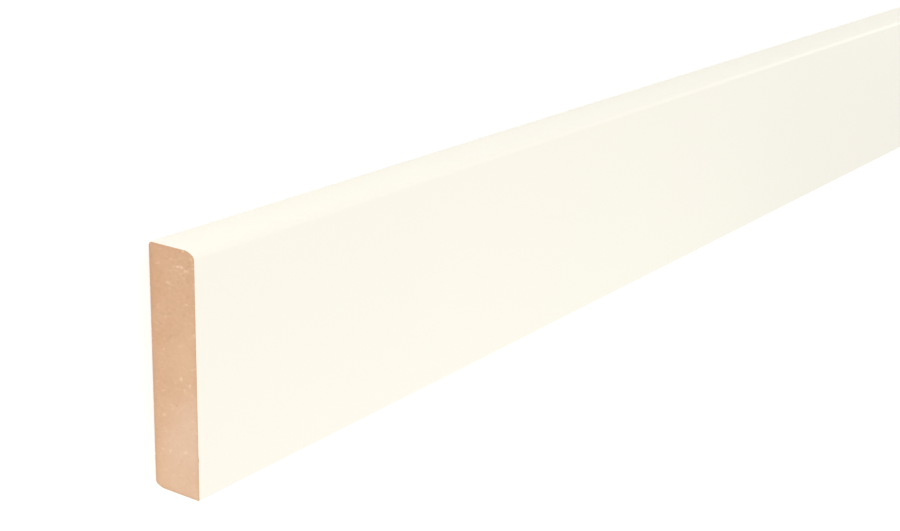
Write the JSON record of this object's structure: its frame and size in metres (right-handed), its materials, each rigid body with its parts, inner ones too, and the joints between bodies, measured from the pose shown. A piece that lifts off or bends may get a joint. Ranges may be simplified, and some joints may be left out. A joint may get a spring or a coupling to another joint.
{
  "type": "skirting board length",
  "caption": "Straight length of white lacquered fibreboard skirting with a flat back, a rounded top edge and square sawn ends.",
  "frame": {"origin": "middle of the flat back, halfway along the board and halfway up its height", "axes": "+X along the board, +Y from its bottom edge to its top edge, +Z out of its back towards its painted face; the board lies on its back"},
  "size_m": [2.4, 0.078, 0.018],
  "materials": {
    "lacquered_face": "satin",
    "sawn_fibreboard": "matte"
  },
  "bodies": {
    "root": {"skirting_board": "lacquered_face"}
  },
  "joints": []
}
